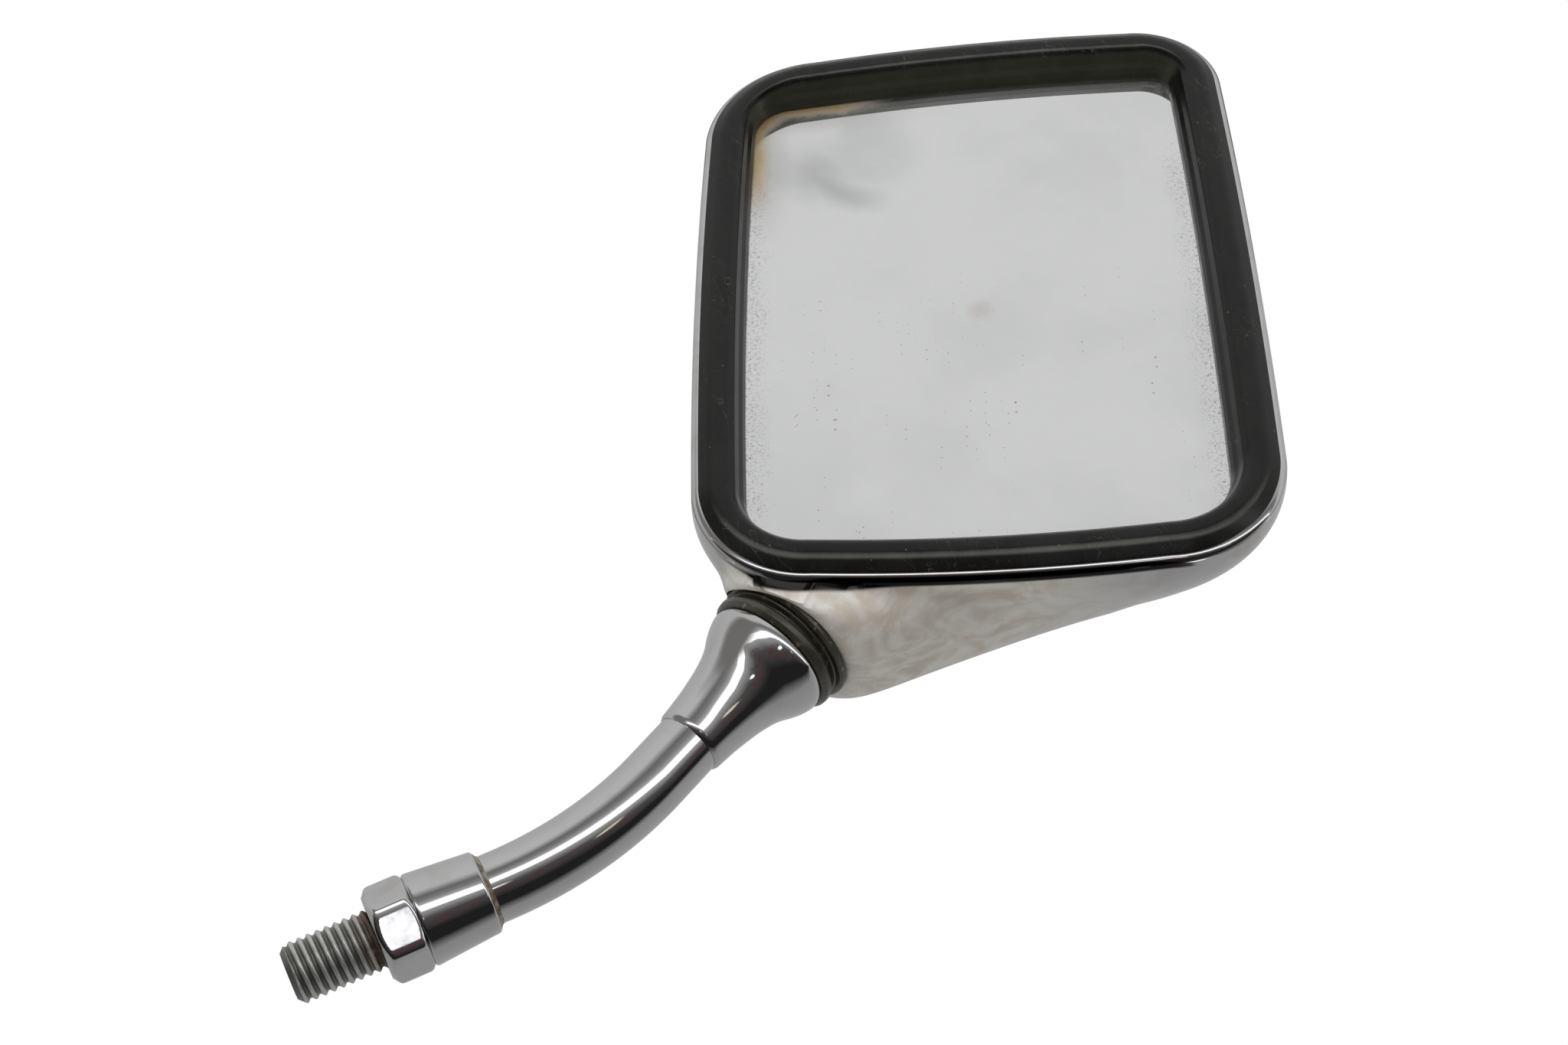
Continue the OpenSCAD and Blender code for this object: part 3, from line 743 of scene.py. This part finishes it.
def rubber_material(name, dark, light, grime, grime_amount, rough, spec=0.7, walls=None):
    """Moulded rubber with clouding, grime, pale specks and lint; walls is the paler colour of the bezel's upper inner
    wall, and brings a painted highlight on the face's edge with it.
    """
    s = Shader(name)
    cloud = s.noise(0.11, 5, 0.6)
    base = s.mix(s.ramp(cloud, 0.35, 0.65), dark, light)
    dirt = s.ramp(s.noise(0.5, 6, 0.72, distort=0.5), 0.56, 0.72)
    base = s.mix(s.times(dirt, grime_amount), base, grime)
    specks = s.ramp(s.cells(0.3, s.moved((3, 5, 1))), 0.05, 0.02)
    base = s.mix(s.times(specks, 0.35), base, srgb("b9b49c"))
    base = s.mix(s.times(scratches(s, 0.35, (0.5, 1, 1.6), 0.006), 0.2), base, srgb("8c8a7c"))
    if walls:
        base = walls_and_painted_highlight(s, base, cloud, walls)
    s.set(base=base, metal=0.0, rough=s.ramp(cloud, 0.3, 0.7, rough - 0.07, rough + 0.07), spec=spec)
    s.bump(s.noise(6.5, 3, 0.6), 0.02, 0.35)
    return s.mat


def plain_material(name, light, dark, metal, rough, grain=2.0):
    """A hidden piece's bare metal, nylon or foam, clouded and grained."""
    s = Shader(name)
    cloud = s.noise(grain, 4, 0.6)
    s.set(base=s.mix(s.ramp(cloud, 0.35, 0.65), dark, light), metal=metal,
          rough=s.ramp(cloud, 0.3, 0.7, rough - 0.06, rough + 0.08))
    s.bump(s.noise(grain * 4, 3), 0.02, 0.4)
    return s.mat


ghost_up = 2.25  # how far above a speck the front face's image of it is seen
glass_left, glass_right = -12.5, 70.5  # the seen glass, along the frame


def silver_wear_and_painted_ghosts(s, flat, u, v):
    """1 where the silvering is gone: worn side edges, and fields of specks, small and large, each painted again
    ghost_up above as a painted reflection of it in the glass's front face.
    """
    inward = s.math("MINIMUM", s.math("SUBTRACT", u, glass_left), s.math("SUBTRACT", glass_right, u))
    inward = s.math("ADD", inward, s.uneven(9, 0.16, 5, 0.75))
    worn_silver_and_painted_ghosts = s.times(s.ramp(inward, 5.0, 0.4), s.ramp(v, 108, 85), s.ramp(s.noise(1.9, 5, 0.85), 0.5, 0.66), 0.85)
    # The second pass is a painted reflection: each speck again, ghost_up above it, as the glass's front face shows it
    for ghost, strength in ((0.0, 0.95), (ghost_up, 0.8)):
        seen_from = s.vmath("ADD", flat, (0, ghost, 0))
        for seed, (scale, size, low) in enumerate(((0.22, 0.06, 0.46), (0.42, 0.07, 0.49), (0.06, 0.03, 0.42))):
            gate = s.noise(0.03, 2, 0.5, s.vmath("ADD", seen_from, (seed * 37, 55, 9)))
            spot = s.ramp(s.cells(scale, s.vmath("ADD", seen_from, (seed * 40 + 3, 11, 0))), size, size * 0.5)
            field = s.times(spot, s.ramp(gate, low - 0.08, low), s.ramp(v, 70, 45), strength * 0.8)
            worn_silver_and_painted_ghosts = s.math("MAXIMUM", worn_silver_and_painted_ghosts, field)
    return worn_silver_and_painted_ghosts


def smudge(s, flat, u, v):
    """A wiped arc with a soft patch above it and a blob at its end."""
    blur = s.uneven(5, 0.09, 3, 0.6)
    from_centre = s.math("ADD", s.vmath("DISTANCE", flat, (12.5, 97.5, 0)), blur)
    arc = s.times(s.ramp(from_centre, 18, 12.8), s.ramp(from_centre, 7, 12.6), s.ramp(v, 102, 90, 0, 0.7),
                  s.ramp(u, 17, 5))
    blob = s.ramp(s.math("ADD", s.vmath("DISTANCE", flat, (0.6, 92.5, 0)), blur), 11, 0, 0, 0.6)
    patch = s.times(s.ramp(s.vmath("DISTANCE", flat, (9, 99, 0)), 15, 5), 0.32,
                    s.ramp(s.noise(0.06, 3, 0.6), 0.3, 0.6))
    return s.math("MAXIMUM", s.math("MAXIMUM", arc, blob), patch)


def mirror_material():
    """Silvered glass with specks and painted reflections of them, worn edges, a smudge, a warm spot and a brown stain
    in one corner.
    """
    s = Shader("mirror_glass_finish")
    u, v = s.along(head_x, ball), s.along(head_y, ball)
    place = s.add("ShaderNodeCombineXYZ")
    s.join(u, place.inputs[0])
    s.join(v, place.inputs[1])
    flat = place.outputs[0]
    base = s.mix(s.ramp(s.noise(0.035, 4, 0.6), 0.4, 0.7), (0.83, 0.835, 0.835), (0.775, 0.78, 0.78))
    worn_silver_and_painted_ghosts = silver_wear_and_painted_ghosts(s, flat, u, v)
    base = s.mix(worn_silver_and_painted_ghosts, base, srgb("35332f"))
    base = s.mix(s.times(smudge(s, flat, u, v), 0.6), base, srgb("929297"))
    warm = s.times(s.ramp(s.vmath("DISTANCE", flat, (29.9, 55.9, 0)), 3.5, 0.5), 0.2)
    base = s.mix(warm, base, srgb("b39a86"))

    # Brown stain round the upper left corner, by distance in from the visible glass's rounded edge
    radii, deep_in = opening_radii(bezel_w), 8
    edge = s.times(out_of_corner(s, 3, radii[3] - bezel_w, arc_middles(radii)[3]), -1)
    near_corner = s.vmath("DISTANCE", flat, (corner_tl[0] + deep_in, corner_tl[1] - deep_in, 0))
    stain = s.times(s.ramp(s.math("ADD", edge, s.uneven(3, 0.2, 4, 0.7)), 3.6, 0.2), s.ramp(near_corner, 30, 14))
    base = s.mix(s.times(stain, 0.95), base, srgb("a3843f"))
    grey = s.times(s.ramp(edge, 9, 2), s.ramp(near_corner, 40, 12), 0.35)
    base = s.mix(grey, base, srgb("8e8a80"))

    film = s.ramp(s.noise(0.5, 5, 0.7), 0.45, 0.75)
    s.set(base=base, metal=s.ramp(s.math("MAXIMUM", worn_silver_and_painted_ghosts, stain), 0, 1, 0.97, 0.15),
          rough=s.math("ADD", s.times(film, 0.02), 0.03), coat=0.3, coat_rough=0.02)
    return s.mat


finishes = {
    "thread_steel": thread_material(),
    "chrome_plate": chrome_material("chrome_plate_finish"),
    "nut_chrome": chrome_material("nut_chrome_finish", 0.25, 0.04),
    "housing_chrome": chrome_material("housing_chrome_finish", 0.2, 0.05, film=True),
    "braze": braze_material(),
    "plain_steel": plain_material("plain_steel_finish", (0.42, 0.41, 0.39), (0.30, 0.29, 0.27), 0.9, 0.38),
    "nylon": plain_material("nylon_finish", (0.72, 0.69, 0.60), (0.62, 0.58, 0.48), 0.0, 0.45),
    "bezel_rubber": rubber_material("bezel_rubber_finish", srgb("10100f"), srgb("151614"), srgb("2a2722"), 0.3,
                                    0.25, 0.28, srgb("3a3b31")),
    "mirror_glass": mirror_material(),
    "pad_foam": plain_material("pad_foam_finish", srgb("3f3d39"), srgb("2d2c29"), 0.0, 0.85, 3.0),
    "die_cast": plain_material("die_cast_finish", (0.34, 0.34, 0.33), (0.25, 0.25, 0.24), 0.85, 0.5, 1.2),
    "boot_rubber": rubber_material("boot_rubber_finish", srgb("24221b"), srgb("38352a"), srgb("93866e"), 0.8, 0.3),
}

slot_of = {row["node"]: row["material_slot"] for row in frame["record"]["subparts"]}
dressed = [(obj, slot_of[name]) for name, obj in frame["nodes"].items()]
dressed += [(obj, obj["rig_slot"]) for obj in bpy.context.scene.objects if obj.type == "MESH" and "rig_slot" in obj]
for obj, slot in dressed:
    obj.data.materials.clear()
    obj.data.materials.append(finishes[slot])


# ---------------------------------------------------------------- camera and floor
cam_right = Vector((0.4266, 0.0476, 0.9032))
cam_up = Vector((-0.7073, -0.6048, 0.3659))
cam_back = Vector((0.5637, -0.7949, -0.2244))
cam_at, cam_lens, cam_sensor = (0.1985, -0.3432, -0.0048), 56.34, 36
camera = bpy.data.objects.new("photo_camera", bpy.data.cameras.new("photo_camera"))
camera.data.lens, camera.data.sensor_width, camera.data.clip_start = cam_lens, cam_sensor, 0.01
camera.matrix_world = Matrix.Translation(cam_at) @ Matrix((cam_right, cam_up, cam_back)).transposed().to_4x4()
bpy.context.scene.collection.objects.link(camera)
bpy.context.scene.camera = camera

floor_z, floor_half, floor_middle = -160, 1500, -60
shade_near, shade_far = 330, 620  # where the floor starts and ends its fade from shadow catcher to plain white
floor = put("floor", [(x * floor_half, y * floor_half, floor_z) for x, y in ((-1, -1), (1, -1), (1, 1), (-1, 1))],
            [(0, 1, 2, 3)], None)
floor.visible_glossy = False
s = Shader("floor_pale")
reach = s.vmath("LENGTH", s.moved((-floor_middle, 0, -floor_z)))
far = s.ramp(reach, shade_near, shade_far)
rays = s.add("ShaderNodeLightPath")
glow = s.add("ShaderNodeEmission")
glow.inputs["Color"].default_value = (1, 1, 1, 1)
s.join(s.times(s.math("ADD", s.times(far, 0.85), 0.15), rays.outputs["Is Camera Ray"]), glow.inputs["Strength"])
s.set(base=s.mix(far, (0.86, 0.86, 0.86), (0.3, 0.3, 0.3)), rough=0.9, spec=0.1)
both = s.add("ShaderNodeAddShader")
s.join(s.bsdf.outputs[0], both.inputs[0])
s.join(glow.outputs[0], both.inputs[1])
s.join(both.outputs[0], s.out.inputs["Surface"])
floor.data.materials.append(s.mat)


# ---------------------------------------------------------------- studio light
# A plain dark room with one lamp for the chrome to mirror, in round levels: what is there, degrees above
# the photograph's view line, brightness
lamp_white = 1.9
studio = [("wall behind", -180, 0.5), ("table", -80, 0.35), ("dark room", -50, 0.02), ("dark room", -20, 0.02),
          ("shelf", 10, 0.1), ("glow", 27, 0.5), ("lamp", 28, lamp_white), ("lamp", 40, lamp_white), ("glow", 41, 0.6),
          ("shade", 50, 0.3), ("shade", 60, 0.2), ("ceiling", 75, 0.7), ("ceiling", 90, 0.7), ("wall behind", 180, 0.5)]
room_grey = 0.62
world = bpy.data.worlds.new("studio")
bpy.context.scene.world = world
world.use_nodes = True
w = Nodes(world.node_tree)
direction = w.add("ShaderNodeTexCoord").outputs["Generated"]
up, back = (w.vmath("DOT_PRODUCT", direction, tuple(axis)) for axis in (cam_up, cam_back))
elevation = w.math("DEGREES", w.math("ARCTAN2", up, back))
bands = w.add("ShaderNodeValToRGB")
elements = bands.color_ramp.elements
elements.remove(elements[1])
for k, (what, angle, brightness) in enumerate(studio):
    share = (angle + 180) / 360
    stop = elements[0] if k == 0 else elements.new(share)
    stop.position = share
    stop.color = [brightness] * 3 + [1]
w.join(w.math("DIVIDE", w.math("ADD", elevation, 180), 360), bands.inputs[0])
streaks = w.ramp(w.noise(9, 2, 0.5, direction, distort=0.3), 0.52, 0.66)
shelf = w.times(w.ramp(elevation, -18, -4), w.ramp(elevation, 20, 8))
seen = w.mix(w.times(streaks, shelf), bands.outputs[0], (0.13, 0.045, 0.05))
# Smaller things in the room: centre by right, up and towards the viewer, inner and outer radius in degrees
for centre, inner, outer, colour in (((0.60, 0.15, 0.79), 2, 3.6, (1.0, 0.9, 0.7)),
                                     ((0.19, 0.18, 0.965), 2.6, 3.4, (1.75, 1.75, 1.85)),
                                     ((-0.82, 0.48, 0.30), 16, 34, (0.24, 0.23, 0.22))):
    toward = (cam_right * centre[0] + cam_up * centre[1] + cam_back * centre[2]).normalized()
    near = w.vmath("DOT_PRODUCT", direction, tuple(toward))
    seen = w.mix(w.ramp(near, math.cos(math.radians(outer)), math.cos(math.radians(inner))), seen, colour)
rays = w.add("ShaderNodeLightPath")
lit = w.mix(rays.outputs["Is Glossy Ray"], (room_grey,) * 3, seen)
shown = w.math("MAXIMUM", rays.outputs["Is Camera Ray"], rays.outputs["Is Transmission Ray"])
background = w.add("ShaderNodeBackground")
w.join(w.mix(shown, lit, (1.0, 1.0, 1.0)), background.inputs["Color"])
w.join(background.outputs[0], w.add("ShaderNodeOutputWorld").inputs["Surface"])

aim = Vector((-0.07, 0, 0.11))
for name, offset, size, watts in (("key", cam_up * 0.9 + cam_back * 0.35 - cam_right * 0.2, 0.9, 9.0),
                                  ("fill", cam_back * 0.8 - cam_right * 0.5 - cam_up * 0.1, 0.8, 2.5),
                                  ("back", -cam_back * 0.8 + cam_up * 0.5, 0.9, 4.0)):
    lamp = bpy.data.objects.new(name, bpy.data.lights.new(name, "AREA"))
    lamp.data.size, lamp.data.energy = size, watts
    lamp.visible_glossy = False
    lamp.location = aim + offset
    lamp.rotation_euler = (-offset).to_track_quat("-Z", "Y").to_euler()
    bpy.context.scene.collection.objects.link(lamp)

bpy.context.scene.view_settings.view_transform = "Standard"
